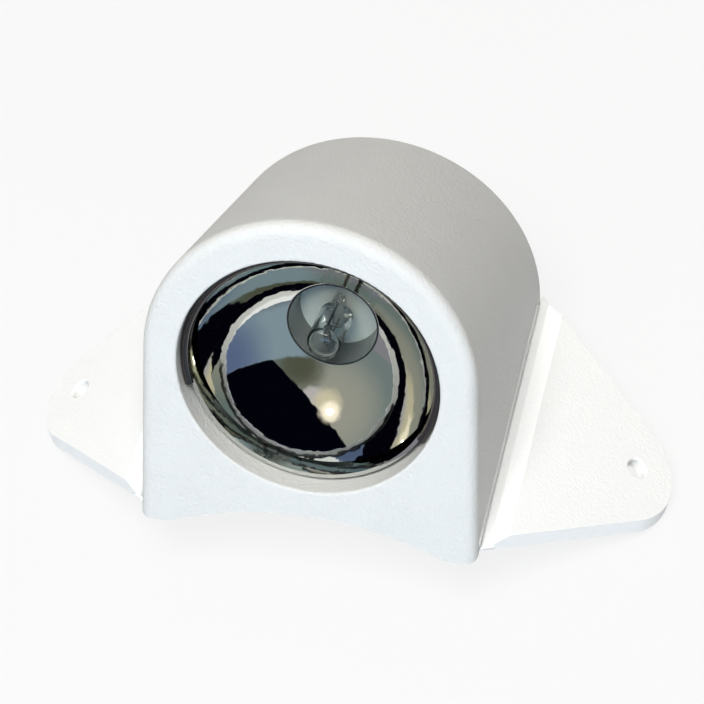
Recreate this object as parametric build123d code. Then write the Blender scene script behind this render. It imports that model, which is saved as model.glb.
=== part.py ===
from build123d import *
from math import acos, asin, atan, atan2, cos, degrees, radians, sin, sqrt, tan
import os

os.makedirs("parts", exist_ok=True)

# A halogen deck light that screws to a mast. The origin is on the mounting side, at the
# middle of the face's foot. +X is to the right as the face is seen, +Y runs back along the
# mast and +Z stands away from it.

# Hood
HALF_WIDTH = 33.5  # radius of the arch, and half the width at its springing
FOOT_FLARE = 0.9  # how much wider each side is at the foot
ARCH_RISE = 39.7  # from the foot to the arch's centre, along the face
FACE_TILT = 20.0  # degrees that the face leans back from upright
SIDE_WALL = 2.6
FACE_WALL = 3.0
REAR_WALL = 2.6
FACE_ROUND = 2.4
REAR_ROUND = 1.2
SADDLE_RADIUS = 73.0  # the mast that the foot is cut to fit
SADDLE_HALF_CHORD = 28.2
BEAD_HEIGHT = 1.4
BEAD_DEPTH = 0.4
BEAD_ROUND = 0.32
BEAD_LIFT = 1.5  # from the mounting side to the bead along each side's foot

# Opening, and the collar behind it that seats the lamp
OPENING_RADIUS = 26.4
OPENING_DROP = 1.5  # from the arch's centre down to the lamp's axis
OPENING_ROUND = 0.5
COLLAR_WALL = 2.0
SEAT_WIDTH = 2.5
SEAT_THICKNESS = 2.0

# Ears on their living hinges
EAR_THICKNESS = 3.1
EAR_INSET = 1.25  # how far the sides lean in from the lower to the upper outline
EAR_SLOPE = 34.5  # degrees down from the mounting side
EAR_START = 3.8  # from the face's foot back to the ear's front corner
EAR_CORNER_RADIUS = 13.4
EAR_CORNER_OUT = 24.6  # corner circle's centre, out from the hinge and back from its front
EAR_CORNER_BACK = 33.2
SCREW_HOLE_RADIUS = 2.1
SCREW_HOLE_OUT = 28.0
SCREW_HOLE_BACK = 34.4
HOLE_EDGE = 0.3
HINGE_THICKNESS = 0.9
HINGE_WIDTH = 0.9
HINGE_BEVEL = 2.6  # how far the ear's top leans away from the hinge
HINGE_GAP = 0.05  # between the hinge's root and the hood's side

# Lamp: a 50 mm class reflector with a neck
RIM_CLEARANCE = 1.05  # between the rim and the bore
RIM_WIDTH = 1.0
RIM_LENGTH = 7.6  # along the axis, with a square shoulder that meets the gasket
RIM_SETBACK = 4.0  # from the face to the front of the rim
GASKET_THICKNESS = 1.0
GASKET_CLEARANCE = 0.2
BAND_DEPTH = 5.3  # from the rim's front back to where the round bowl starts
BAND_DRAFT = 0.25  # how much narrower the bowl is there
SHOULDER_CLEARANCE = 0.3  # between the lamp behind its shoulder and the seat
NECK_RADIUS = 9.0
NECK_DEPTH = 21.0  # from the face to the neck's front edge
NECK_WELL_DEPTH = 6.4
NECK_WELL_TAPER = 0.7
GLASS = 1.3
FLOOR_THICKNESS = 1.6
CAP_RADIUS = 10.6
CAP_LENGTH = 9.0
CAP_REAR_WALL = 2.0
CAP_CHAMFER = 1.2

# Capsule and what is sealed in it
CAPSULE_RADIUS = 3.5
CAPSULE_WALL = 0.8
CAPSULE_REACH = 9.2  # from the neck's front edge out to the tip
CAPSULE_LENGTH = 13.6
CAPSULE_DOME = 2.1
CAPSULE_SHOULDER = 1.75
SEAL_WIDTH = 7.0
SEAL_THICKNESS = 2.2
SEAL_LENGTH = 8.0
SEAL_ROUND = 0.66
SEAL_BLEND = 0.5  # from the seal's start back to where the tube has closed on it
LEG_RADIUS = 0.2
LEG_OFFSET = 2.1
LEG_INTO_SEAL = 1.2
COIL_RADIUS = 0.65
COIL_WIRE_RADIUS = 0.14
COIL_TURNS = 6
COIL_SETBACK = 4.6  # from the capsule's tip back to the coil
FOIL_WIDTH = 1.5
FOIL_THICKNESS = 0.12
WIRE_CLEARANCE = 0.02
CEMENT_WIDTH = 5.2
CEMENT_LENGTH = 10.4
PIN_RADIUS = 0.775
PIN_SPACING = 5.33
PIN_LENGTH = 7.0  # what stands out of the cap
PIN_LEAD_IN = 0.3
PIN_LAP = 1.0  # how far the pins and their wires run side by side

# Retaining ring
RING_WIRE_RADIUS = 0.9
RING_CLEARANCE = 0.08
RING_GAP = 136.0  # degrees that the spring leaves open, at the bottom
RING_GAP_ANGLE = -97.0

# Lampholder
HOLDER_GAP = 0.3  # between the cap and the lampholder
HOLDER_WIDTH = 13.0
HOLDER_HEIGHT = 25.0
HOLDER_DEPTH = 7.5
HOLDER_COVER = 1.5
HOLDER_ROUND = 2.0
HOLDER_FRONT_WALL = 1.6
HOLDER_SCREW_RISE = 8.6
SLEEVE_WALL = 0.36
PIN_CLEARANCE = 0.06
PIN_ENTRY_CLEARANCE = 0.4
CONTACT_STRIP_WIDTH = 1.0
CONTACT_THICKNESS = 0.8
POCKET_CLEARANCE = 0.1

# Bracket and posts
BRACKET_THICKNESS = 1.0
BRACKET_SPAN = 49.0
BRACKET_ARM = 10.0
POST_OFFSET = 21.0
POST_RADIUS = 3.4
WINDOW_MARGIN = 0.9

# Screws
SCREW_RADIUS = 1.45
SCREW_CLEARANCE = 0.05
SCREW_HEAD_RADIUS = 2.7
SCREW_HEAD_HEIGHT = 1.9
BRACKET_SCREW_LENGTH = 9.0
DRIVER_SLOT = 0.6

# Leads and terminal block
LEAD_RADIUS = 0.8
LEAD_OFFSET = 4.0
LEAD_BEND = 4.8
LEAD_STRAIGHT = 0.6
FERRULE_RADIUS = 0.7
FERRULE_LENGTH = 6.0
BLOCK_WIDTH = 18.0
BLOCK_HEIGHT = 9.0
BLOCK_DEPTH = 8.0
BLOCK_GAP = 3.37  # from the bracket back to the block, free for its screw's head
BLOCK_SEAT = 1.5  # the raised pad on the rear wall that the block stands on
BLOCK_DROP = 4.0  # from the lamp's axis down to the block's middle
BLOCK_EDGE = 0.6
TUBE_RADIUS = 2.2
TUBE_BORE = 1.1
TUBE_LENGTH = 7.6
CLAMP_SCREW_RADIUS = 1.2
CLAMP_SCREW_LENGTH = 2.8
BLOCK_SCREW_HEAD = 2.1
BLOCK_SCREW_BITE = 2.7  # how far the screw goes into the pad and the wall

# Drawing aids
OVERCUT = 1.0  # how far a cutting shape runs past the face that it opens
SAME_SIZE = 0.01  # how close a radius is to the one sought

# Worked out from the above
tilt = radians(FACE_TILT)
lamp_rise = ARCH_RISE - OPENING_DROP
shoulder_depth = RIM_SETBACK + RIM_LENGTH
seat_depth = shoulder_depth + GASKET_THICKNESS
collar_depth = seat_depth + SEAT_THICKNESS
well_depth = NECK_DEPTH + NECK_WELL_DEPTH
floor_depth = well_depth + FLOOR_THICKNESS
cap_depth = floor_depth + CAP_LENGTH
capsule_tip = NECK_DEPTH - CAPSULE_REACH
seal_start = capsule_tip + CAPSULE_LENGTH
seal_end = seal_start + SEAL_LENGTH
holder_front = cap_depth + HOLDER_GAP
holder_back = holder_front + HOLDER_DEPTH
cover_back = holder_back + HOLDER_COVER
bracket_back = cover_back + BRACKET_THICKNESS
sleeve_bore = PIN_RADIUS + PIN_CLEARANCE
sleeve_radius = sleeve_bore + SLEEVE_WALL
block_front = bracket_back + BLOCK_GAP
block_back = block_front + BLOCK_DEPTH
rear_inside = block_back + BLOCK_SEAT
tube_depth = block_front + BLOCK_DEPTH / 2
block_top = BLOCK_HEIGHT / 2 - BLOCK_DROP
lead_rise = block_top + LEAD_STRAIGHT + LEAD_BEND
coil_depth = capsule_tip + COIL_SETBACK
rim_radius = OPENING_RADIUS - RIM_CLEARANCE
mouth_radius = rim_radius - RIM_WIDTH
hood_depth = rear_inside + REAR_WALL  # square to the face
base_length = hood_depth / cos(tilt)
slope = atan2(ARCH_RISE * cos(tilt), base_length - ARCH_RISE * sin(tilt))  # of the roof, from level
run = hood_depth / cos(slope - tilt)  # length of the roof along its slope

outward = Vector(0, -cos(tilt), sin(tilt))
roof_direction = Vector(0, cos(slope), -sin(slope))
face_plane = Plane(origin=(0, 0, 0), x_dir=(1, 0, 0), z_dir=outward)
lamp_origin = face_plane.from_local_coords((0, lamp_rise, 0))
lamp_plane = Plane(origin=lamp_origin, x_dir=(1, 0, 0), z_dir=outward)


def on_lamp(shape):
    """Move a shape drawn about the lamp's axis (+Z outwards from the face) to its place."""
    return lamp_plane.location * shape


def rod(radius, front, back, x=0, y=0):
    """A round bar along the lamp's axis, between two depths behind the face."""
    return Pos(x, y, -(front + back) / 2) * Cylinder(radius, back - front)


def block(width, height, front, back, x=0, y=0):
    """A rectangular bar along the lamp's axis, between two depths behind the face."""
    return Pos(x, y, -(front + back) / 2) * Box(width, height, back - front)


def rounded_block(width, height, radius, front, back):
    """A bar with rounded corners along the lamp's axis, between two depths."""
    return extrude(Pos(0, 0, -back) * RectangleRounded(width, height, radius), back - front)


def turned(*outline):
    """Revolve a closed outline of (radius, depth) points and curves about the lamp's axis."""
    return revolve(Plane.XZ * make_face(Curve() + list(outline)), Axis.Z)


def axial_point(radius, depth):
    """A point of a turned outline."""
    return (radius, -depth)


def path(*points):
    """A run of straight lines through (radius, depth) points."""
    return Polyline(*[axial_point(*point) for point in points])


def bowl_arc(neck, mouth, neck_depth, mouth_depth):
    """The part of a sphere about the axis through a neck and a mouth, each a radius at a depth."""
    difference = neck_depth**2 + neck**2 - mouth_depth**2 - mouth**2
    centre = difference / (2 * (neck_depth - mouth_depth))
    radius = sqrt(neck**2 + (neck_depth - centre) ** 2)
    middle = (atan2(neck, neck_depth - centre) + atan2(mouth, mouth_depth - centre)) / 2
    return ThreePointArc(
        axial_point(neck, neck_depth),
        axial_point(radius * sin(middle), centre + radius * cos(middle)),
        axial_point(mouth, mouth_depth),
    )


def arch_outline(radius, rise, foot):
    """The face's outline: an arch on two sides that run straight on, well below the foot."""
    corner = Vector(foot, 0)
    away = corner - Vector(0, rise)
    turn = degrees(acos(radius / away.length))
    spring = Vector(0, rise) + away.normalized().rotate(Axis.Z, turn) * radius
    low = corner + (corner - spring)
    sides = Polyline((-spring.X, spring.Y), (-low.X, low.Y), (low.X, low.Y), (spring.X, spring.Y))
    arch = ThreePointArc((spring.X, spring.Y), (0, rise + radius), (-spring.X, spring.Y))
    return make_face(Curve() + [sides, arch])


def screw(head_radius, head_height, radius, length, depth, x=0, y=0):
    """A slotted screw whose head rests at a depth and whose shank goes on inwards."""
    head = rod(head_radius, depth - head_height, depth, x, y)
    slot = block(2 * head_radius, DRIVER_SLOT, depth - head_height, depth - head_height / 2, x, y)
    return head - slot + rod(radius, depth, depth + length, x, y)


def hood_shell():
    """The arched hood, cut off at the mounting side and hollowed from behind it."""
    foot = HALF_WIDTH + FOOT_FLARE
    outer = extrude(face_plane * arch_outline(HALF_WIDTH, ARCH_RISE, foot), run, dir=roof_direction)
    depth_axis = Axis(lamp_origin, outward)
    front_edges = outer.faces().sort_by(depth_axis)[-1].edges().sort_by(Axis.Z)[1:]
    outer = fillet(front_edges, FACE_ROUND)
    rear_edges = outer.faces().sort_by(depth_axis)[0].edges().sort_by(Axis.Z)[1:]
    outer = fillet(rear_edges, REAR_ROUND)
    inner_plane = face_plane.offset(-FACE_WALL)
    shift = FACE_WALL * tan(slope - tilt)
    inner_run = run - (FACE_WALL + REAR_WALL) / cos(slope - tilt)
    cavity = arch_outline(HALF_WIDTH - SIDE_WALL, ARCH_RISE - shift, foot - SIDE_WALL)
    return outer - extrude(inner_plane * cavity, inner_run, dir=roof_direction)


def lamp_collar():
    """The ring behind the opening that guides the lamp, with the seat at its end."""
    outer_radius = OPENING_RADIUS + COLLAR_WALL
    ring = rod(outer_radius, FACE_WALL / 2, collar_depth)
    return on_lamp(ring)


def lamp_bore():
    """What the lamp, its gasket and its ring leave free through the face and the collar."""
    bore = rod(OPENING_RADIUS, -OVERCUT, seat_depth)
    bore += rod(OPENING_RADIUS - SEAT_WIDTH, seat_depth, collar_depth + OVERCUT)
    return on_lamp(bore)


def bracket_posts():
    """Two posts on the rear wall that carry the bracket, with screw holes."""
    posts = Part()
    holes = Part()
    for x in (-POST_OFFSET, POST_OFFSET):
        posts += rod(POST_RADIUS, bracket_back, rear_inside + REAR_WALL / 2, x)
        hole_end = bracket_back + BRACKET_SCREW_LENGTH
        holes += rod(SCREW_RADIUS + SCREW_CLEARANCE, bracket_back - OVERCUT, hole_end, x)
    return on_lamp(posts), on_lamp(holes)


def hinge_line():
    """Front and rear ends of the right side's foot, where the living hinge runs."""
    front = Vector(HALF_WIDTH + FOOT_FLARE * (1 - EAR_START / base_length), EAR_START, 0)
    rear = Vector(HALF_WIDTH, base_length, 0)
    return front, rear


def foot_bead():
    """The bead that runs along each side just above its foot."""
    front, rear = hinge_line()
    along = (rear - front).normalized()
    plane = Plane(origin=front, x_dir=(0, 0, 1), z_dir=along)
    section = RectangleRounded(BEAD_HEIGHT, 2 * BEAD_DEPTH, BEAD_ROUND)
    profile = Pos(BEAD_LIFT + BEAD_HEIGHT / 2, 0) * section
    right = extrude(plane * profile, (rear - front).length - BEAD_LIFT / tan(slope) - BEAD_HEIGHT)
    return right + mirror(right, Plane.YZ)


def housing():
    """The whole white moulding without its ears."""
    posts, holes = bracket_posts()
    pad = on_lamp(block(BLOCK_WIDTH, BLOCK_HEIGHT, block_back, rear_inside + REAR_WALL / 2, 0, -BLOCK_DROP))
    body = hood_shell() + lamp_collar() + posts + pad + foot_bead()
    body -= lamp_bore()
    body -= holes
    fixing_end = block_back + BLOCK_SCREW_BITE + SCREW_CLEARANCE
    body -= on_lamp(rod(SCREW_RADIUS + SCREW_CLEARANCE, block_back - OVERCUT, fixing_end, 0, -BLOCK_DROP))
    reach = 4 * HALF_WIDTH
    below = Pos(0, base_length / 2, -reach / 2) * Box(reach, reach, reach)
    saddle_drop = sqrt(SADDLE_RADIUS**2 - SADDLE_HALF_CHORD**2)
    mast = Pos(0, base_length / 2, -saddle_drop) * Rot(90, 0, 0) * Cylinder(SADDLE_RADIUS, reach)
    body = body - below - mast
    rims = body.edges().filter_by(GeomType.CIRCLE)
    rims = rims.filter_by(lambda e: abs(e.radius - OPENING_RADIUS) < SAME_SIZE)
    return fillet(rims.sort_by(Axis(lamp_origin, outward))[-1:], OPENING_ROUND)


def ear_outline():
    """The ear's triangle with its round corner, drawn out from the hinge line."""
    front, rear = hinge_line()
    length = (rear - front).length
    centre = Vector(EAR_CORNER_OUT, EAR_CORNER_BACK)
    corners = []
    for point, side in ((Vector(0, 0), 1), (Vector(0, length), -1)):
        away = point - centre
        turn = side * degrees(acos(EAR_CORNER_RADIUS / away.length))
        corners.append(centre + away.normalized().rotate(Axis.Z, turn) * EAR_CORNER_RADIUS)
    nose = centre + ((corners[0] + corners[1]) / 2 - centre).normalized() * EAR_CORNER_RADIUS
    lines = Polyline(corners[1], (0, length), (0, 0), corners[0])
    return make_face(Curve() + [lines, ThreePointArc(corners[0], nose, corners[1])])


def ear():
    """The right ear with its living hinge, sloped down at its place."""
    front, rear = hinge_line()
    outline = ear_outline()
    reach = 4 * EAR_CORNER_OUT
    beyond_hinge = Pos(HINGE_WIDTH + reach / 2, 0) * Rectangle(reach, 4 * reach)
    over_hinge = Pos((HINGE_WIDTH + EAR_INSET) / 2, 0) * Rectangle(HINGE_WIDTH + EAR_INSET, 4 * reach)
    slab = extrude(outline & beyond_hinge, EAR_THICKNESS, taper=degrees(atan(EAR_INSET / EAR_THICKNESS)))
    foot = HINGE_WIDTH + EAR_INSET * HINGE_THICKNESS / EAR_THICKNESS
    top = foot + HINGE_BEVEL
    bevel = Polyline((foot, HINGE_THICKNESS), (top, EAR_THICKNESS), (foot, EAR_THICKNESS), close=True)
    slab -= extrude(Plane.XZ * make_face(bevel), reach, both=True)
    half = HINGE_THICKNESS / 2
    length = (rear - front).length
    root = Pos(0, length / 2, half) * Rot(90, 0, 0) * Cylinder(half, length)
    web = extrude(outline & over_hinge, HINGE_THICKNESS) + root
    drill = Cylinder(SCREW_HOLE_RADIUS, 2 * EAR_THICKNESS)
    hole = Pos(SCREW_HOLE_OUT, SCREW_HOLE_BACK, EAR_THICKNESS / 2) * drill
    solid = slab + web - hole
    rims = solid.edges().filter_by(GeomType.CIRCLE)
    rims = rims.filter_by(lambda e: abs(e.radius - SCREW_HOLE_RADIUS) < HOLE_EDGE).sort_by(Axis.Z)
    solid = chamfer(rims[-1:], HOLE_EDGE)
    along = (rear - front).normalized()
    level = along.cross(Vector(0, 0, 1))
    outwards = level.rotate(Axis((0, 0, 0), along), EAR_SLOPE)
    axis_start = front + level * (half + HINGE_GAP) + Vector(0, 0, half)
    plane = Plane(origin=axis_start, x_dir=outwards, z_dir=outwards.cross(along))
    return plane.location * Pos(0, 0, -half) * solid


def retaining_ring():
    """A round spring wire, bent to an open ring that grips the bore in front of the lamp's rim."""
    radius = OPENING_RADIUS - RING_CLEARANCE - RING_WIRE_RADIUS
    depth = RIM_SETBACK - RING_WIRE_RADIUS - RING_CLEARANCE
    section = Plane.XZ * Pos(radius, -depth) * Circle(RING_WIRE_RADIUS)
    ring = revolve(section, Axis.Z, 360 - RING_GAP)
    return on_lamp(Rot(0, 0, RING_GAP_ANGLE + RING_GAP / 2) * ring)


def rim_gasket():
    """The flat silicone ring between the lamp's rim and its seat."""
    depths = (seat_depth - GASKET_THICKNESS, seat_depth)
    ring = rod(OPENING_RADIUS - GASKET_CLEARANCE, *depths)
    return on_lamp(ring - rod(OPENING_RADIUS - SEAT_WIDTH + GASKET_CLEARANCE, *depths))


def seal_outline(clearance=0):
    """Cross-section of the capsule's flattened seal, its broad side upright."""
    width = SEAL_THICKNESS + 2 * clearance
    return RectangleRounded(width, SEAL_WIDTH + 2 * clearance, SEAL_ROUND + clearance)


def seal_bar(front, back, clearance=0):
    """The seal's cross-section between two depths."""
    return extrude(Pos(0, 0, -back) * seal_outline(clearance), back - front)


def lamp_reflector():
    """The polished bowl with its rim and front band, its neck and the floor that the capsule passes."""
    well_radius = NECK_RADIUS - NECK_WELL_TAPER
    neck_outside = NECK_RADIUS + GLASS
    band_end = (mouth_radius - BAND_DRAFT, RIM_SETBACK + BAND_DEPTH)
    shoulder_radius = OPENING_RADIUS - SEAT_WIDTH - SHOULDER_CLEARANCE
    inner = bowl_arc(NECK_RADIUS, band_end[0], NECK_DEPTH, band_end[1])
    outer = bowl_arc(neck_outside, shoulder_radius, NECK_DEPTH + GLASS, shoulder_depth)
    front = path(
        band_end,
        (mouth_radius, RIM_SETBACK),
        (rim_radius, RIM_SETBACK),
        (rim_radius, shoulder_depth),
        (shoulder_radius, shoulder_depth),
    )
    rear = path(
        (neck_outside, NECK_DEPTH + GLASS),
        (neck_outside, floor_depth),
        (0, floor_depth),
        (0, well_depth),
        (well_radius, well_depth),
        (NECK_RADIUS, NECK_DEPTH),
    )
    slot = seal_bar(well_depth - OVERCUT, floor_depth + OVERCUT, PIN_CLEARANCE)
    return on_lamp(turned(inner, front, outer, rear) - slot)


def cement_pocket():
    """The pocket in the cap that the cement fills round the seal."""
    return block(CEMENT_WIDTH, CEMENT_LENGTH, floor_depth, cap_depth - CAP_REAR_WALL)


def pin_rods(radius, front, back):
    """Two bars at the pins' spacing."""
    return rod(radius, front, back, 0, PIN_SPACING / 2) + rod(radius, front, back, 0, -PIN_SPACING / 2)


def lamp_cap():
    """The ceramic cap behind the reflector's neck."""
    body = rod(CAP_RADIUS, floor_depth, cap_depth)
    rear_edge = body.edges().sort_by(Axis.Z)[:1]
    body = chamfer(rear_edge, CAP_CHAMFER)
    return on_lamp(body - cement_pocket() - pin_rods(PIN_RADIUS, floor_depth, cap_depth + OVERCUT))


def lamp_pins():
    """The two pins that plug into the lampholder, with rounded ends."""
    pins = pin_rods(PIN_RADIUS, seal_end + PIN_LAP, cap_depth + PIN_LENGTH)
    ends = pins.edges().filter_by(GeomType.CIRCLE).sort_by(Axis.Z)[:2]
    return on_lamp(chamfer(ends, PIN_LEAD_IN))


def leg_rods(radius, front, back):
    """Two bars at the spacing of the filament's legs."""
    return rod(radius, front, back, 0, LEG_OFFSET) + rod(radius, front, back, 0, -LEG_OFFSET)


def foil_strips(clearance=0):
    """The two thin foils that pass the current through the seal."""
    front = seal_start + LEG_INTO_SEAL
    back = seal_end - LEG_INTO_SEAL
    strips = Part()
    for y in (LEG_OFFSET, -LEG_OFFSET):
        strips += block(FOIL_THICKNESS + 2 * clearance, FOIL_WIDTH + 2 * clearance, front, back, 0, y)
    return strips


def lamp_capsule():
    """The quartz tube: domed tip, straight body, shoulder and flattened seal."""
    straight_start = capsule_tip + CAPSULE_DOME
    straight_end = seal_start - CAPSULE_SHOULDER
    closed = (SEAL_THICKNESS / 2, seal_start + SEAL_BLEND)
    tip_corner = axial_point(CAPSULE_RADIUS, capsule_tip)
    dome_end = axial_point(CAPSULE_RADIUS, straight_start)
    outer = [
        Bezier(axial_point(0, capsule_tip), tip_corner, dome_end),
        path((CAPSULE_RADIUS, straight_start), (CAPSULE_RADIUS, straight_end), closed),
        path(closed, (0, closed[1]), (0, capsule_tip)),
    ]
    inside = CAPSULE_RADIUS - CAPSULE_WALL
    inner_tip = capsule_tip + CAPSULE_WALL
    inner_end = axial_point(inside, straight_start)
    inner = [
        Bezier(axial_point(0, inner_tip), axial_point(inside, inner_tip), inner_end),
        path((inside, straight_start), (inside, straight_end), (0, straight_end), (0, inner_tip)),
    ]
    seal = seal_bar(seal_start - CAPSULE_SHOULDER / 2, seal_end)
    tube = turned(*outer) + seal - turned(*inner)
    wire_hole = LEG_RADIUS + WIRE_CLEARANCE
    wires = leg_rods(wire_hole, straight_end, seal_start + LEG_INTO_SEAL)
    wires += leg_rods(wire_hole, seal_end - LEG_INTO_SEAL, seal_end + OVERCUT)
    return on_lamp(tube - wires - foil_strips(WIRE_CLEARANCE))


def filament():
    """The coiled filament, across its two legs."""
    length = 2 * (LEG_OFFSET - LEG_RADIUS)
    turns = Helix(length / COIL_TURNS, length, COIL_RADIUS)
    section = Plane(origin=turns @ 0, z_dir=turns % 0) * Circle(COIL_WIRE_RADIUS)
    coil = sweep(section, turns)
    return on_lamp(Pos(0, length / 2, -coil_depth) * Rot(90, 0, 0) * coil)


def filament_legs():
    """The two wires that carry the filament from the seal."""
    return on_lamp(leg_rods(LEG_RADIUS, coil_depth - COIL_RADIUS, seal_start + LEG_INTO_SEAL))


def outer_wires():
    """The two wires from the foils to the pins."""
    return on_lamp(leg_rods(LEG_RADIUS, seal_end - LEG_INTO_SEAL, seal_end + PIN_LAP))


def lamp_cement():
    """The cement that holds the seal and the pins in the cap."""
    fill = cement_pocket() - seal_bar(floor_depth, seal_end)
    fill -= pin_rods(PIN_RADIUS, seal_end + PIN_LAP, cap_depth)
    return on_lamp(fill - leg_rods(LEG_RADIUS, seal_end, seal_end + PIN_LAP))


def contact_ends():
    """For each contact, its sleeve round a pin and its barrel round a lead."""
    upper = (Vector(0, PIN_SPACING / 2), Vector(-LEAD_OFFSET, lead_rise))
    lower = (Vector(0, -PIN_SPACING / 2), Vector(LEAD_OFFSET, lead_rise))
    return (upper, lower)


def contact_solid(clearance=0, bored=True):
    """Both contacts, or the pockets that take them."""
    sleeve_front = holder_front + HOLDER_FRONT_WALL
    strip_back = holder_back - clearance
    solids = Part()
    for sleeve, barrel in contact_ends():
        outer = sleeve_radius + clearance
        shape = rod(outer, sleeve_front - clearance, holder_back, sleeve.X, sleeve.Y)
        shape += rod(outer, sleeve_front - clearance, holder_back, barrel.X, barrel.Y)
        middle = (sleeve + barrel) / 2
        span = barrel - sleeve
        strip = Box(span.length, CONTACT_STRIP_WIDTH + 2 * clearance, CONTACT_THICKNESS + 2 * clearance)
        turn = degrees(asin(span.Y / span.length))
        turn = turn if span.X > 0 else 180 - turn
        shape += Pos(middle.X, middle.Y, -(strip_back - CONTACT_THICKNESS / 2)) * Rot(0, 0, turn) * strip
        if bored:
            shape -= rod(sleeve_bore, sleeve_front, holder_back + OVERCUT, sleeve.X, sleeve.Y)
            shape -= rod(LEAD_RADIUS, sleeve_front, holder_back + OVERCUT, barrel.X, barrel.Y)
        solids += shape
    return solids


def holder_screw_positions():
    """Heights of the two screws that hold the lampholder to its bracket."""
    return (HOLDER_SCREW_RISE, -HOLDER_SCREW_RISE)


def lampholder():
    """The ceramic body that takes the pins."""
    body = rounded_block(HOLDER_WIDTH, HOLDER_HEIGHT, HOLDER_ROUND, holder_front, holder_back)
    body -= contact_solid(POCKET_CLEARANCE, bored=False)
    entry = PIN_RADIUS + PIN_ENTRY_CLEARANCE
    body -= pin_rods(entry, holder_front - OVERCUT, holder_front + HOLDER_FRONT_WALL)
    head_seat = holder_front + SCREW_HEAD_HEIGHT + HOLDER_GAP
    for y in holder_screw_positions():
        body -= rod(SCREW_HEAD_RADIUS + POCKET_CLEARANCE, holder_front - OVERCUT, head_seat, 0, y)
        body -= rod(SCREW_RADIUS + SCREW_CLEARANCE, holder_front, holder_back + OVERCUT, 0, y)
    return on_lamp(body)


def lampholder_cover():
    """The plate that closes the lampholder behind its contacts."""
    body = rounded_block(HOLDER_WIDTH, HOLDER_HEIGHT, HOLDER_ROUND, holder_back, cover_back)
    for y in holder_screw_positions():
        body -= rod(SCREW_RADIUS + SCREW_CLEARANCE, holder_back - OVERCUT, cover_back + OVERCUT, 0, y)
    lead_hole = LEAD_RADIUS + POCKET_CLEARANCE
    for x in (-LEAD_OFFSET, LEAD_OFFSET):
        body -= rod(lead_hole, holder_back - OVERCUT, cover_back + OVERCUT, x, lead_rise)
    return on_lamp(body)


def lampholder_contacts():
    """The two sprung contacts, each with a sleeve for a pin and a barrel for a lead."""
    return on_lamp(contact_solid())


def lampholder_screws():
    """The two screws from the lampholder's front into its bracket."""
    depth = holder_front + SCREW_HEAD_HEIGHT + HOLDER_GAP
    length = bracket_back + BRACKET_THICKNESS - depth
    parts = Part()
    for y in holder_screw_positions():
        parts += screw(SCREW_HEAD_RADIUS, SCREW_HEAD_HEIGHT, SCREW_RADIUS, length, depth, 0, y)
    return on_lamp(parts)


def lampholder_bracket():
    """The sheet bracket across the two posts, with a window for the leads."""
    plate = rounded_block(BRACKET_SPAN, BRACKET_ARM, HOLDER_ROUND, cover_back, bracket_back)
    plate += rounded_block(HOLDER_WIDTH, HOLDER_HEIGHT, HOLDER_ROUND, cover_back, bracket_back)
    hole = SCREW_RADIUS + SCREW_CLEARANCE
    for y in holder_screw_positions():
        plate -= rod(hole, cover_back - OVERCUT, bracket_back + OVERCUT, 0, y)
    for x in (-POST_OFFSET, POST_OFFSET):
        plate -= rod(hole, cover_back - OVERCUT, bracket_back + OVERCUT, x)
    window = LEAD_RADIUS + WINDOW_MARGIN
    for x in (-LEAD_OFFSET, LEAD_OFFSET):
        plate -= rod(window, cover_back - OVERCUT, bracket_back + OVERCUT, x, lead_rise)
    return on_lamp(plate)


def bracket_screws():
    """The two screws that hold the bracket to the posts."""
    parts = Part()
    for x in (-POST_OFFSET, POST_OFFSET):
        head = (SCREW_HEAD_RADIUS, SCREW_HEAD_HEIGHT)
        parts += screw(*head, SCREW_RADIUS, BRACKET_SCREW_LENGTH, cover_back, x)
    return on_lamp(parts)


def lamp_lead(x):
    """One insulated lead: out of the lampholder, round one bend, down into the block."""
    start = holder_front + HOLDER_FRONT_WALL + HOLDER_DEPTH / 3
    turn = tube_depth - LEAD_BEND
    run_back = Line((0, lead_rise, -start), (0, lead_rise, -turn))
    bend = TangentArc(run_back @ 1, (0, lead_rise - LEAD_BEND, -tube_depth), tangent=run_back % 1)
    drop = Line(bend @ 1, (0, block_top - BLOCK_EDGE, -tube_depth))
    route = Wire([run_back, bend, drop])
    section = Plane(origin=route @ 0, z_dir=route % 0) * Circle(LEAD_RADIUS)
    return on_lamp(Pos(x, 0, 0) * sweep(section, route))


def block_bar(radius, low, high, x):
    """A round bar up through the terminal block at one way."""
    middle = (low + high) / 2
    return Pos(x, middle, -tube_depth) * Rot(90, 0, 0) * Cylinder(radius, high - low)


def tube_ends():
    """Lowest and highest reach of the brass tubes."""
    return (-BLOCK_DROP - TUBE_LENGTH / 2, -BLOCK_DROP + TUBE_LENGTH / 2)


def lead_ferrules():
    """The crimped ends of the leads, inside the brass tubes."""
    top = block_top - BLOCK_EDGE
    parts = Part()
    for x in (-LEAD_OFFSET, LEAD_OFFSET):
        parts += block_bar(FERRULE_RADIUS, top - FERRULE_LENGTH, top, x)
    return on_lamp(parts)


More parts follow.
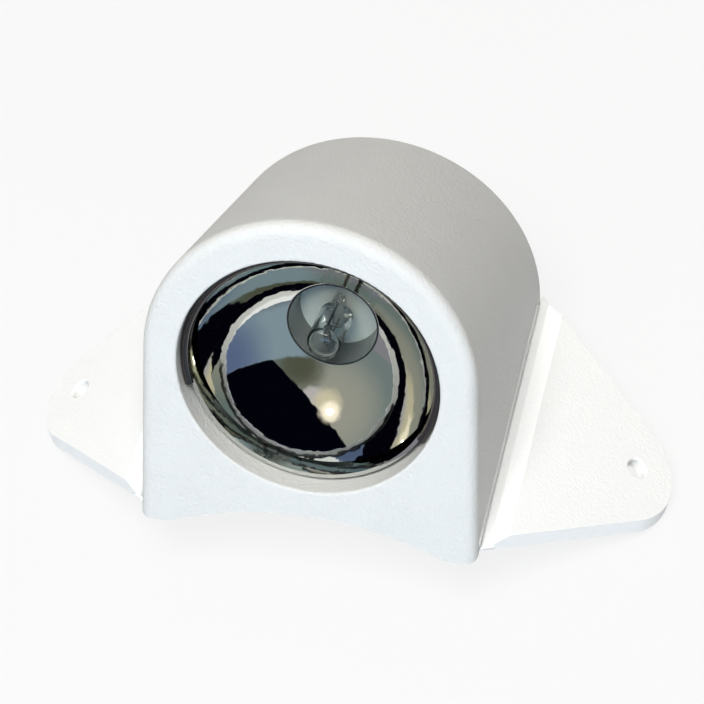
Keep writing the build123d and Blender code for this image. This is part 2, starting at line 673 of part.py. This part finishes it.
def terminal_block():
    """The two-way nylon block on the rear wall's pad."""
    low, high = tube_ends()
    body = block(BLOCK_WIDTH, BLOCK_HEIGHT, block_front, block_back, 0, -BLOCK_DROP)
    body = chamfer(body.edges().filter_by(Axis.Z), BLOCK_EDGE)
    clamp_hole = CLAMP_SCREW_RADIUS + POCKET_CLEARANCE
    for x in (-LEAD_OFFSET, LEAD_OFFSET):
        body -= block_bar(TUBE_RADIUS, low, high, x)
        body -= block_bar(LEAD_RADIUS + POCKET_CLEARANCE, high - OVERCUT, high + BLOCK_HEIGHT, x)
        body -= block_bar(TUBE_BORE, low - BLOCK_HEIGHT, low + OVERCUT, x)
        body -= rod(clamp_hole, block_front - OVERCUT, tube_depth, x, -BLOCK_DROP)
    body -= rod(SCREW_RADIUS + SCREW_CLEARANCE, block_front - OVERCUT, block_back + OVERCUT, 0, -BLOCK_DROP)
    return on_lamp(body)


def terminal_tubes():
    """The brass tubes that join the leads to the supply."""
    low, high = tube_ends()
    parts = Part()
    for x in (-LEAD_OFFSET, LEAD_OFFSET):
        tube = block_bar(TUBE_RADIUS, low, high, x) - block_bar(TUBE_BORE, low - OVERCUT, high + OVERCUT, x)
        hole = rod(CLAMP_SCREW_RADIUS + SCREW_CLEARANCE, block_front, tube_depth, x, -BLOCK_DROP)
        parts += tube - hole
    return on_lamp(parts)


def terminal_screws():
    """The clamp screws, tightened down on the ferrules."""
    tip = tube_depth - FERRULE_RADIUS - WIRE_CLEARANCE
    parts = Part()
    for x in (-LEAD_OFFSET, LEAD_OFFSET):
        top = tip - CLAMP_SCREW_LENGTH
        body = rod(CLAMP_SCREW_RADIUS, top, tip, x, -BLOCK_DROP)
        slot = block(2 * CLAMP_SCREW_RADIUS, DRIVER_SLOT, top, top + DRIVER_SLOT, x, -BLOCK_DROP)
        parts += body - slot
    return on_lamp(parts)


def block_screw():
    """The screw that holds the terminal block to the rear wall."""
    length = BLOCK_DEPTH + BLOCK_SCREW_BITE
    head = (BLOCK_SCREW_HEAD, SCREW_HEAD_HEIGHT)
    return on_lamp(screw(*head, SCREW_RADIUS, length, block_front, 0, -BLOCK_DROP))


right_ear = ear()
nodes = {
    "housing": housing(),
    "right_ear": right_ear,
    "left_ear": mirror(right_ear, Plane.YZ),
    "retaining_ring": retaining_ring(),
    "rim_gasket": rim_gasket(),
    "lamp_reflector": lamp_reflector(),
    "lamp_cap": lamp_cap(),
    "lamp_cement": lamp_cement(),
    "lamp_pins": lamp_pins(),
    "lamp_capsule": lamp_capsule(),
    "filament": filament(),
    "filament_legs": filament_legs(),
    "seal_foils": on_lamp(foil_strips()),
    "outer_wires": outer_wires(),
    "lampholder": lampholder(),
    "lampholder_cover": lampholder_cover(),
    "lampholder_contacts": lampholder_contacts(),
    "lampholder_screws": lampholder_screws(),
    "lampholder_bracket": lampholder_bracket(),
    "bracket_screws": bracket_screws(),
    "left_lead": lamp_lead(-LEAD_OFFSET),
    "right_lead": lamp_lead(LEAD_OFFSET),
    "lead_ferrules": lead_ferrules(),
    "terminal_block": terminal_block(),
    "terminal_tubes": terminal_tubes(),
    "terminal_screws": terminal_screws(),
    "block_screw": block_screw(),
}
for name, shape in nodes.items():
    export_step(shape, f"parts/{name}.step")
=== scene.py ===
from math import atan2, cos, pi, radians, sin, sqrt

import bmesh
import bpy
from mathutils import Matrix, Vector


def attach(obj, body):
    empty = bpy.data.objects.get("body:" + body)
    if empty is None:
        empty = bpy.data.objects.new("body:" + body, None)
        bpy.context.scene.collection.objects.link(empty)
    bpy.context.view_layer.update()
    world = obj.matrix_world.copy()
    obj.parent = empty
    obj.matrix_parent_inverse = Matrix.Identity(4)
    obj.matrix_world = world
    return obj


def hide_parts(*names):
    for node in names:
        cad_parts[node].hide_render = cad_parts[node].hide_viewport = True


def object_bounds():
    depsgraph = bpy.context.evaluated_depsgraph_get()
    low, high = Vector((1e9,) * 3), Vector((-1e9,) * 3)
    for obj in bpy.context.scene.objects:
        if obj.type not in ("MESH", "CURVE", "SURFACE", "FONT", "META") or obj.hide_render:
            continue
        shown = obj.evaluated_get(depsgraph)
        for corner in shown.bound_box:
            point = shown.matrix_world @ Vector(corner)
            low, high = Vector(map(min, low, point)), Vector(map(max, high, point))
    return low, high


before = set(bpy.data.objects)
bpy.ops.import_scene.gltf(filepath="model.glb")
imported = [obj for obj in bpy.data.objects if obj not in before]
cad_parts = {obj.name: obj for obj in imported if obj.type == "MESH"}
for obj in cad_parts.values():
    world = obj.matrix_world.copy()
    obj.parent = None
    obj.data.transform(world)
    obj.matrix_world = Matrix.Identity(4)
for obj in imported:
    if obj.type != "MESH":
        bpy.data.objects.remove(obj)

cad_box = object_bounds()
scene = bpy.context.scene
scene.view_settings.view_transform = "Standard"
MM = 0.001

# Sizes that the reflector shares with the moulding and the lamp, in millimetres
FACE_TILT = radians(20.0)
LAMP_RISE = 38.2
RIM_SETBACK = 4.0
RIM_RADIUS = 25.35
RIM_LENGTH = 7.6
SHOULDER_RADIUS = 23.6
NECK_RADIUS = 9.0
NECK_DEPTH = 21.0
NECK_WELL_DEPTH = 6.4
NECK_WELL_TAPER = 0.7
GLASS = 1.3
FLOOR_THICKNESS = 1.6

# The mirror's polished curve, matched to its reflections; at most 0.54 mm from the solid's
MOUTH_RADIUS = 24.55
BAND_DEPTH = 4.1
BAND_DRAFT = 0.37
NECK_EDGE_DEPTH = 20.6
NECK_EDGE_WIDTH = 0.35

# How finely the reflector is turned, so that the mirror shows no facets
TURN_STEPS = 256
BOWL_STEPS = 96
BACK_STEPS = 48
SHARP_EDGE = radians(20)  # a corner that turns more than this keeps a crisp edge

outward = Vector((0, -cos(FACE_TILT), sin(FACE_TILT)))
up_face = Vector((0, sin(FACE_TILT), cos(FACE_TILT)))
lamp_origin = up_face * LAMP_RISE * MM
lamp_turn = Matrix((Vector((1, 0, 0)), up_face, outward)).transposed().to_4x4()
lamp_matrix = Matrix.Translation(lamp_origin) @ lamp_turn


# Helpers
def linear(colour):
    """An sRGB hex colour as linear RGBA."""
    parts = [int(colour[i : i + 2], 16) / 255 for i in (1, 3, 5)]
    curve = [c / 12.92 if c <= 0.04045 else ((c + 0.055) / 1.055) ** 2.4 for c in parts]
    return (*curve, 1.0)


def bright(colour, strength):
    """A colour made brighter than white, for a painted highlight."""
    return (*[c * strength for c in linear(colour)[:3]], 1.0)


def add(tree, kind, settings=None, **sockets):
    """Add a node, set its properties, and set or link its inputs by name, or by number as i0."""
    made = tree.nodes.new(kind)
    for key, value in (settings or {}).items():
        setattr(made, key, value)
    for key, value in sockets.items():
        numbered = key[0] == "i" and key[1:].isdigit()
        name = int(key[1:]) if numbered else key.replace("_", " ")
        if isinstance(value, bpy.types.NodeSocket):
            tree.links.new(value, made.inputs[name])
        else:
            made.inputs[name].default_value = value
    return made


def new_material(name):
    """An empty node material and its tree."""
    made = bpy.data.materials.new(name)
    made.use_nodes = True
    made.node_tree.nodes.clear()
    return made, made.node_tree


# Materials. Each grain_mm is coarser than the real grain, which is too fine to show.
DRIFT_MM = 9.0  # how far apart a moulding's slow changes of colour are
GRAIN_GLOSS = (-0.06, 0.08)  # how much a grain's low and high places change the roughness
MARKS_MM = 0.5  # a metal's rubbing marks, drawn coarser than the real ones so that they show
MARKS_GLOSS = (0.7, 1.3)  # the marks make a metal this many times as rough as it is named


def moulded(
    name, colour, shade, grain_mm, depth_mm, roughness, pebble_mm=0.0, pebble_depth_mm=0.0
):
    """A moulded, pressed or set stuff: grain, slow colour drift, and a pebble where asked."""
    made, tree = new_material(name)
    place = add(tree, "ShaderNodeTexCoord").outputs["Object"]
    grain = add(
        tree,
        "ShaderNodeTexNoise",
        Vector=place,
        Scale=1 / (grain_mm * MM),
        Detail=3.0,
        Roughness=0.6,
    )
    drift = add(
        tree, "ShaderNodeTexNoise", Vector=place, Scale=1 / (DRIFT_MM * MM), Detail=2.0
    )
    mixed = add(
        tree,
        "ShaderNodeMix",
        {"data_type": "RGBA"},
        Factor=drift.outputs["Fac"],
        A=linear(colour),
        B=linear(shade),
    )
    bump = add(
        tree,
        "ShaderNodeBump",
        Height=grain.outputs["Fac"],
        Distance=depth_mm * MM,
        Strength=1.0,
    )
    if pebble_mm:
        pebble = add(
            tree,
            "ShaderNodeTexVoronoi",
            {"feature": "SMOOTH_F1"},
            Vector=place,
            Scale=1 / (pebble_mm * MM),
        )
        bump = add(
            tree,
            "ShaderNodeBump",
            {"invert": True},
            Height=pebble.outputs["Distance"],
            Distance=pebble_depth_mm * MM,
            Strength=1.0,
            Normal=bump.outputs["Normal"],
        )
    gloss = add(
        tree,
        "ShaderNodeMapRange",
        Value=grain.outputs["Fac"],
        To_Min=roughness + GRAIN_GLOSS[0],
        To_Max=roughness + GRAIN_GLOSS[1],
    )
    shader = add(
        tree,
        "ShaderNodeBsdfPrincipled",
        Base_Color=mixed.outputs["Result"],
        Roughness=gloss.outputs["Result"],
        Normal=bump.outputs["Normal"],
        IOR=1.5,
    )
    add(tree, "ShaderNodeOutputMaterial", Surface=shader.outputs["BSDF"])
    return made


def metal(name, colour, roughness, ripple_mm=0.0, ripple_depth_mm=0.0):
    """A bare or plated metal; ripple is the slight unevenness that forming leaves."""
    made, tree = new_material(name)
    place = add(tree, "ShaderNodeTexCoord").outputs["Object"]
    marks = add(
        tree, "ShaderNodeTexNoise", Vector=place, Scale=1 / (MARKS_MM * MM), Detail=4.0
    )
    gloss = add(
        tree,
        "ShaderNodeMapRange",
        Value=marks.outputs["Fac"],
        To_Min=roughness * MARKS_GLOSS[0],
        To_Max=roughness * MARKS_GLOSS[1],
    )
    shader = add(
        tree,
        "ShaderNodeBsdfPrincipled",
        Base_Color=linear(colour),
        Metallic=1.0,
        Roughness=gloss.outputs["Result"],
    )
    if ripple_mm:
        ripple = add(
            tree, "ShaderNodeTexNoise", Vector=place, Scale=1 / (ripple_mm * MM), Detail=1.0
        )
        bump = add(
            tree,
            "ShaderNodeBump",
            Height=ripple.outputs["Fac"],
            Distance=ripple_depth_mm * MM,
            Strength=1.0,
        )
        tree.links.new(bump.outputs["Normal"], shader.inputs["Normal"])
    add(tree, "ShaderNodeOutputMaterial", Surface=shader.outputs["BSDF"])
    return made


def clear_quartz(name):
    """Fused quartz: clear, smooth, with a low index."""
    made, tree = new_material(name)
    shader = add(
        tree,
        "ShaderNodeBsdfPrincipled",
        Base_Color=linear("#FBFDFD"),
        Roughness=0.0,
        IOR=1.458,
        Transmission_Weight=1.0,
    )
    add(tree, "ShaderNodeOutputMaterial", Surface=shader.outputs["BSDF"])
    return made


# ASA from a spark-eroded tool: a soft white with a fine leather pebble that dulls its gloss.
# The pebble is drawn at 0.6 mm, about twice the real one, so that it shows in the render.
hood_plastic = moulded(
    "asa_spark_eroded",
    "#DCDDDB",
    "#D6D7D5",
    grain_mm=0.35,
    depth_mm=0.03,
    roughness=0.55,
    pebble_mm=0.6,
    pebble_depth_mm=0.13,
)
# ASA from the tool's smoother side; painted light makes the ears' colour whiter than the hood's.
ear_plastic_painted_light = moulded(
    "asa_smooth_painted_light",
    "#FDFEFC",
    "#FAFBFA",
    grain_mm=0.6,
    depth_mm=0.02,
    roughness=0.45,
    pebble_mm=0.6,
    pebble_depth_mm=0.08,
)
# Aluminium, turned, brightened and anodised: a cool mirror whose slight ripple, 2 mm from
# crest to crest, frays what it reflects.
mirror = metal(
    "aluminium_bright_anodised", "#E4E6E2", roughness=0.03, ripple_mm=2.0, ripple_depth_mm=0.02
)
# Glass pressed in a mould, uncoated: the neck's wall looks dark grey and half glossy.
neck_glass = moulded(
    "glass_pressed_bare", "#6E7472", "#5F6563", grain_mm=0.8, depth_mm=0.02, roughness=0.18
)
# Glass fired rough where it is sealed: the neck's floor looks matt and pale grey-green.
neck_floor = moulded(
    "glass_fired_matt", "#BEC5BB", "#A9B1A8", grain_mm=0.8, depth_mm=0.04, roughness=0.4
)
# Painted shade: a dark line round the neck's edge, for the shadow between the mirror and the
# neck.
neck_edge_painted_shade = moulded(
    "glass_edge_painted_shade", "#23282B", "#1A1E22", grain_mm=0.8, depth_mm=0.02, roughness=0.2
)
# Fused quartz, flame-worked: clear, with bright rims where the wall turns.
quartz = clear_quartz("quartz_flame_worked")
# Stainless wire, drawn and sprung, with thin bright lines along it; painted shade darkens its
# colour.
spring_painted_shade = metal("stainless_wire_drawn", "#6A6766", roughness=0.16)
# Tungsten, drawn and coiled: dull dark grey.
tungsten = metal("tungsten_drawn", "#6A6662", roughness=0.35)
# Steatite, pressed and fired unglazed: chalky, warm off-white.
ceramic = moulded(
    "steatite_fired_unglazed", "#DDD8CC", "#D2CCBE", grain_mm=0.25, depth_mm=0.02, roughness=0.6
)
# Lamp cement, set in place: gritty and matt.
cement = moulded(
    "lamp_cement_set", "#CFC6B4", "#BDB29C", grain_mm=0.4, depth_mm=0.08, roughness=0.8
)
# Silicone, compression moulded: a soft grey sheen.
silicone = moulded(
    "silicone_moulded", "#C9C6C0", "#BFBCB6", grain_mm=0.5, depth_mm=0.01, roughness=0.5
)
# Polyamide, moulded: slightly waxy, off-white.
nylon = moulded(
    "polyamide_moulded", "#EDEBE2", "#E5E2D8", grain_mm=0.5, depth_mm=0.01, roughness=0.4
)
# Silicone sleeve, extruded over the leads: dull cream.
sleeve = moulded(
    "silicone_sleeve_extruded", "#E6E0D0", "#DAD2C0", grain_mm=0.3, depth_mm=0.01, roughness=0.45
)
# Steel, zinc plated: bright bluish grey with fine rubbing marks.
steel = metal("steel_zinc_plated", "#C6C8CA", roughness=0.28)
# Brass, drawn: yellow, half bright.
brass = metal("brass_drawn", "#D2B070", roughness=0.25)
# Molybdenum foil, rolled: thin, grey and satin.
foil = metal("molybdenum_foil_rolled", "#8E8C88", roughness=0.3)

finishes = {
    hood_plastic: ["housing"],
    ear_plastic_painted_light: ["left_ear", "right_ear"],
    mirror: ["lamp_reflector"],
    quartz: ["lamp_capsule"],
    spring_painted_shade: ["retaining_ring"],
    tungsten: ["filament", "filament_legs"],
    ceramic: ["lamp_cap", "lampholder", "lampholder_cover"],
    cement: ["lamp_cement"],
    silicone: ["rim_gasket"],
    nylon: ["terminal_block"],
    sleeve: ["left_lead", "right_lead"],
    steel: [
        "lampholder_contacts",
        "lampholder_screws",
        "lampholder_bracket",
        "bracket_screws",
        "block_screw",
        "terminal_screws",
        "lead_ferrules",
        "lamp_pins",
        "outer_wires",
    ],
    brass: ["terminal_tubes"],
    foil: ["seal_foils"],
}
for finish, names in finishes.items():
    for name in names:
        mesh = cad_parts[name].data
        mesh.materials.clear()
        mesh.materials.append(finish)


# The lamp's own piece
def new_object(name, mesh, finish, body, slot_name, *nodes):
    """A piece that stands for CAD nodes and rides on their body."""
    made = bpy.data.objects.new(name, mesh)
    scene.collection.objects.link(made)
    mesh.materials.append(finish)
    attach(made, body)
    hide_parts(*nodes)
    return made


def lathe(outline, steps):
    """A smooth mesh from a closed outline of (radius, depth) turned about the lamp's axis."""
    shape = bmesh.new()
    turn = [2 * pi * k / steps for k in range(steps)]
    rings = []
    for radius, depth in outline:
        angles = turn if radius else [0.0]
        points = [(radius * MM * cos(a), radius * MM * sin(a), -depth * MM) for a in angles]
        rings.append([shape.verts.new(point) for point in points])
    for one, two in zip(rings, rings[1:] + rings[:1]):
        if len(one) == 1 and len(two) == 1:
            continue
        for k in range(steps):
            n = (k + 1) % steps
            corners = [one[k % len(one)], one[n % len(one)], two[n % len(two)], two[k % len(two)]]
            shape.faces.new(list(dict.fromkeys(corners)))
    bmesh.ops.recalc_face_normals(shape, faces=shape.faces)
    shape.transform(lamp_matrix)
    mesh = bpy.data.meshes.new("lathe")
    shape.to_mesh(mesh)
    shape.free()
    mesh.shade_smooth()
    return mesh


def arc_points(neck, mouth, neck_depth, mouth_depth, count):
    """Points of the sphere about the axis through a neck and a mouth, from the neck outwards."""
    difference = neck_depth**2 + neck**2 - mouth_depth**2 - mouth**2
    centre = difference / (2 * (neck_depth - mouth_depth))
    radius = sqrt(neck**2 + (neck_depth - centre) ** 2)
    start = atan2(neck, neck_depth - centre)
    end = atan2(mouth, mouth_depth - centre)
    angles = [start + (end - start) * k / count for k in range(count + 1)]
    return [(radius * sin(a), centre + radius * cos(a)) for a in angles]


def reflector():
    """The lamp's polished bowl, turned finely enough to mirror without facets."""
    band_radius, band_end = MOUTH_RADIUS - BAND_DRAFT, RIM_SETBACK + BAND_DEPTH
    edge_radius = NECK_RADIUS + NECK_EDGE_WIDTH
    shoulder = RIM_SETBACK + RIM_LENGTH
    well = NECK_DEPTH + NECK_WELL_DEPTH
    back, back_depth = NECK_RADIUS + GLASS, NECK_EDGE_DEPTH + GLASS
    bowl = arc_points(edge_radius, band_radius, NECK_EDGE_DEPTH, band_end, BOWL_STEPS)
    front = [(MOUTH_RADIUS, RIM_SETBACK), (RIM_RADIUS, RIM_SETBACK), (RIM_RADIUS, shoulder)]
    outer = arc_points(back, SHOULDER_RADIUS, back_depth, shoulder, BACK_STEPS)[::-1]
    rear = [
        (back, well + FLOOR_THICKNESS),
        (0, well + FLOOR_THICKNESS),
        (0, well),
        (NECK_RADIUS - NECK_WELL_TAPER, well),
    ]
    outline = [(NECK_RADIUS, NECK_EDGE_DEPTH)] + bowl + front + outer + rear
    mesh = lathe(outline, TURN_STEPS)
    made = new_object("reflector", mesh, mirror, "lamp", "polished_reflector", "lamp_reflector")
    wall_slot, floor_slot, painted_shade_slot = 1, 2, 3
    for finish in (neck_glass, neck_floor, neck_edge_painted_shade):
        mesh.materials.append(finish)
    # Bare glass, and the neck edge's painted shade line, by depth, a little clear of the corners;
    # all the rest is mirror
    for face in mesh.polygons:
        depth = (lamp_origin - face.center).dot(outward) / MM
        if depth > well - 0.1:
            face.material_index = floor_slot
        elif depth > NECK_EDGE_DEPTH + 0.1:
            face.material_index = wall_slot
        elif depth > NECK_EDGE_DEPTH - 0.01:
            face.material_index = painted_shade_slot
    sharp = made.modifiers.new("sharp", "EDGE_SPLIT")
    sharp.split_angle = SHARP_EDGE


# Camera: lengths in millimetres, and the photograph's own in pixels
CAMERA_TARGET = (16.685, -7.3, 74.13)
CAMERA_DISTANCE = 826.6753
CAMERA_AZIMUTH = radians(18.5887)
CAMERA_ELEVATION = radians(51.8562)
CAMERA_ROLL = radians(-6.8825)
SENSOR_WIDTH = 36.0
IMAGE_WIDTH = 704
FOCAL_LENGTH = 4500.0


def photo_camera():
    """The camera at the photograph's angle."""
    flat, roll = cos(CAMERA_ELEVATION), CAMERA_ROLL
    target = Vector(CAMERA_TARGET) * MM
    back = Vector(
        (sin(CAMERA_AZIMUTH) * flat, -cos(CAMERA_AZIMUTH) * flat, sin(CAMERA_ELEVATION))
    )
    side = Vector((0, 0, 1)).cross(back).normalized()
    top = back.cross(side)
    right = side * cos(roll) + top * sin(roll)
    upright = top * cos(roll) - side * sin(roll)
    data = bpy.data.cameras.new("camera")
    data.sensor_width = SENSOR_WIDTH
    data.lens = FOCAL_LENGTH * SENSOR_WIDTH / IMAGE_WIDTH
    data.clip_start = 0.01
    data.clip_end = 20.0
    camera = bpy.data.objects.new("camera", data)
    scene.collection.objects.link(camera)
    turned = Matrix((right, upright, back)).transposed().to_4x4()
    camera.matrix_world = Matrix.Translation(target + back * CAMERA_DISTANCE * MM) @ turned
    scene.camera = camera


# Studio, in metres
LIGHT_AIM = Vector((0, 0.03, 0.03))
PAINTED_DOME_RADIUS = 1.6
CARD_REACH = 2.0
CARD_EDGE = -0.05  # the front card lies in front of the object, up to here
FLOOR_REACH = 3.0
STAGE_GAP = 0.0002  # the floor is this far under the ears' tips, the front card this far over
FLOOR_WHITE = 0.85  # how much of the floor shows plain white; the rest keeps the shadow
PAINTED_HIGHLIGHT_DIRECTION = (-0.25, -0.42, 0.87)  # the dome's bright spot, a painted highlight; mirrors don't see the key light itself
RIGHT = (1, 0, 0)


def soft_light(name, direction, distance, width, height, power, colour):
    """A rectangular soft box that looks at the object, hidden from mirrors; power in watts."""
    data = bpy.data.lights.new(name, "AREA")
    data.shape = "RECTANGLE"
    data.size = width
    data.size_y = height
    data.energy = power
    data.color = linear(colour)[:3]
    light = bpy.data.objects.new(name, data)
    scene.collection.objects.link(light)
    towards = Vector(direction).normalized()
    light.location = LIGHT_AIM + towards * distance
    light.rotation_mode = "QUATERNION"
    light.rotation_quaternion = towards.to_track_quat("Z", "Y")
    light.visible_glossy = False


def seen_directly(tree):
    """1 for camera, mirror and glass rays, which see the background white; 0 for diffuse ones."""
    path = add(tree, "ShaderNodeLightPath")
    clear = add(
        tree,
        "ShaderNodeMath",
        {"operation": "MAXIMUM"},
        i0=path.outputs["Is Camera Ray"],
        i1=path.outputs["Is Transmission Ray"],
    )
    direct = add(
        tree,
        "ShaderNodeMath",
        {"operation": "MAXIMUM"},
        i0=clear.outputs["Value"],
        i1=path.outputs["Is Glossy Ray"],
    )
    return direct.outputs["Value"]


def white_room():
    """Plain white all round, with a weak even fill for diffuse surfaces."""
    world = bpy.data.worlds.new("white_room")
    scene.world = world
    world.use_nodes = True
    tree = world.node_tree
    tree.nodes.clear()
    fill = add(tree, "ShaderNodeBackground", Color=linear("#FFF4EC"), Strength=0.14)
    white = add(tree, "ShaderNodeBackground", Color=linear("#FFFFFF"), Strength=1.0)
    both = add(
        tree,
        "ShaderNodeMixShader",
        Fac=seen_directly(tree),
        i1=fill.outputs["Background"],
        i2=white.outputs["Background"],
    )
    add(tree, "ShaderNodeOutputWorld", Surface=both.outputs["Shader"])


def flat_sheet(name, left, right, near, far, level):
    """A level rectangle."""
    mesh = bpy.data.meshes.new(name)
    corners = [(left, near, level), (right, near, level), (right, far, level), (left, far, level)]
    mesh.from_pydata(corners, [], [(0, 1, 2, 3)])
    return mesh


def stage_card(name, mesh, material):
    """A studio card that only mirrors and glass see, carrying painted reflections."""
    card = bpy.data.objects.new(name, mesh)
    scene.collection.objects.link(card)
    mesh.materials.append(material)
    card.visible_camera = False
    card.visible_diffuse = False
    card.visible_shadow = False


class Painter:
    """Lays soft-edged patches of colour over a studio card, by direction from the lamp: painted
    reflections for mirrors and glass.
    """

    def __init__(self, name, ground):
        self.material, self.tree = new_material(name)
        place = add(self.tree, "ShaderNodeTexCoord").outputs["Object"]
        from_lamp = add(
            self.tree,
            "ShaderNodeVectorMath",
            {"operation": "SUBTRACT"},
            i0=place,
            i1=lamp_origin,
        )
        towards = add(
            self.tree,
            "ShaderNodeVectorMath",
            {"operation": "NORMALIZE"},
            i0=from_lamp.outputs["Vector"],
        )
        self.towards = towards.outputs["Vector"]
        self.colour = linear(ground)

    def side(self, normal, low, high):
        """A mask: 0 where the direction's dot with a normal is low, 1 where it is high."""
        dot = add(
            self.tree,
            "ShaderNodeVectorMath",
            {"operation": "DOT_PRODUCT"},
            i0=self.towards,
            i1=Vector(normal).normalized(),
        )
        mask = add(
            self.tree,
            "ShaderNodeMapRange",
            {"interpolation_type": "SMOOTHSTEP"},
            Value=dot.outputs["Value"],
            From_Min=low,
            From_Max=high,
        )
        return mask.outputs["Result"]

    def lay(self, colour, *masks):
        """Lay a colour over what is there, where all the masks are on."""
        where = masks[0]
        for mask in masks[1:]:
            both = add(
                self.tree, "ShaderNodeMath", {"operation": "MULTIPLY"}, i0=where, i1=mask
            )
            where = both.outputs["Value"]
        mixed = add(
            self.tree,
            "ShaderNodeMix",
            {"data_type": "RGBA"},
            Factor=where,
            A=self.colour,
            B=colour,
        )
        self.colour = mixed.outputs["Result"]

    def finish(self):
        """Make the card glow with what was painted."""
        glow = add(self.tree, "ShaderNodeEmission", Color=self.colour, Strength=1.0)
        add(self.tree, "ShaderNodeOutputMaterial", Surface=glow.outputs["Emission"])
        return self.material


def painted_reflection_dome():
    """A dome painted with the reflections that mirrors and glass show: grey, with a dark side and
    a bright spot.
    """
    shape = bmesh.new()
    bmesh.ops.create_uvsphere(shape, u_segments=48, v_segments=24, radius=PAINTED_DOME_RADIUS)
    mesh = bpy.data.meshes.new("painted_reflection_dome")
    shape.to_mesh(mesh)
    shape.free()
    paint = Painter("painted_reflection_dome", "#788584")
    # Painted reflections: paler round the bright spot, olive in front, blue at the lower right
    paint.lay(linear("#A5A499"), paint.side((-0.25, -0.45, 0.86), 0.55, 1.0))
    paint.lay(linear("#56594A"), paint.side((0.24, -0.84, 0.49), 0.9, 1.0))
    below = paint.side((0.02, -0.371, -0.929), -0.03, 0.03)
    right = paint.side(RIGHT, 0.0, 0.25)
    paint.lay(linear("#8A9DA8"), below, right)
    paint.lay(linear("#5E6E91"), below, right, paint.side(RIGHT, 0.5, 0.93))
    # Painted reflections: pale patches round the bright spot
    paint.lay(linear("#C3BEBE"), paint.side((0.02, -0.54, 0.84), 0.972, 0.99))
    paint.lay(linear("#DCD2B4"), paint.side((-0.2, -0.52, 0.83), 0.965, 0.998))
    # Painted reflection of a dark side, behind and to the right
    behind = paint.side((0.651, 0.625, 0.429), 0.04, 0.06)
    above = paint.side((-0.02, 0.371, 0.929), -0.01, 0.01)
    paint.lay(linear("#03030D"), behind, above)
    # Painted highlight: the bright spot's halo and the spot, which stand in for the key light
    paint.lay(bright("#FFF3DC", 1.3), paint.side(PAINTED_HIGHLIGHT_DIRECTION, 0.982, 0.999))
    paint.lay(bright("#FFF8EC", 30.0), paint.side(PAINTED_HIGHLIGHT_DIRECTION, 0.9989, 0.9995))
    stage_card("painted_reflection_dome", mesh, paint.finish())


def painted_reflection_card():
    """A grey-blue card in front of the object, painted with the reflections that the upper half
    of the bowl mirrors.
    """
    level = cad_box[0].z + STAGE_GAP
    reach = CARD_REACH
    mesh = flat_sheet("painted_reflection_card", -reach, reach, -reach, CARD_EDGE, level)
    paint = Painter("painted_reflection_card", "#8A8890")
    # Painted reflections: blue-grey towards the right, darker for directions below
    paint.lay(linear("#8A9DA8"), paint.side(RIGHT, 0.0, 0.25))
    paint.lay(linear("#5E6E91"), paint.side(RIGHT, 0.5, 0.93))
    paint.lay(linear("#45434C"), paint.side((0, 0.2, -1), 0.3, 0.7))
    stage_card("painted_reflection_card", mesh, paint.finish())


def floor():
    """A plain white floor that the ears' tips rest on."""
    level = cad_box[0].z - STAGE_GAP
    reach = FLOOR_REACH
    mesh = flat_sheet("floor", -reach, reach, -reach, reach, level)
    made = bpy.data.objects.new("floor", mesh)
    scene.collection.objects.link(made)
    # Paper, matt: it shows white, with the object's soft shadow on it.
    material, tree = new_material("floor_paper")
    share = add(
        tree, "ShaderNodeMath", {"operation": "MULTIPLY"}, i0=seen_directly(tree), i1=FLOOR_WHITE
    )
    paper = add(tree, "ShaderNodeBsdfDiffuse", Color=linear("#CBCBCB"))
    glow = add(tree, "ShaderNodeEmission", Color=linear("#FFFFFF"), Strength=1.0)
    both = add(
        tree,
        "ShaderNodeMixShader",
        Fac=share.outputs["Value"],
        i1=paper.outputs["BSDF"],
        i2=glow.outputs["Emission"],
    )
    add(tree, "ShaderNodeOutputMaterial", Surface=both.outputs["Shader"])
    mesh.materials.append(material)


reflector()
photo_camera()
soft_light(
    "key",
    (0.03, -0.43, 0.9),
    distance=1.3,
    width=0.6,
    height=0.5,
    power=20.5,
    colour="#FFFEFB",
)
soft_light(
    "back_left",
    (-0.5, 0.4, 0.77),
    distance=1.2,
    width=0.7,
    height=0.7,
    power=0.9,
    colour="#FFFDF9",
)
soft_light(
    "front_fill",
    (0.0, -0.93, 0.25),
    distance=1.2,
    width=0.8,
    height=0.5,
    power=3.5,
    colour="#8FCCFF",
)
white_room()
# The painted reflections that the mirror and the glass show: a dome and a front card
painted_reflection_dome()
painted_reflection_card()
floor()
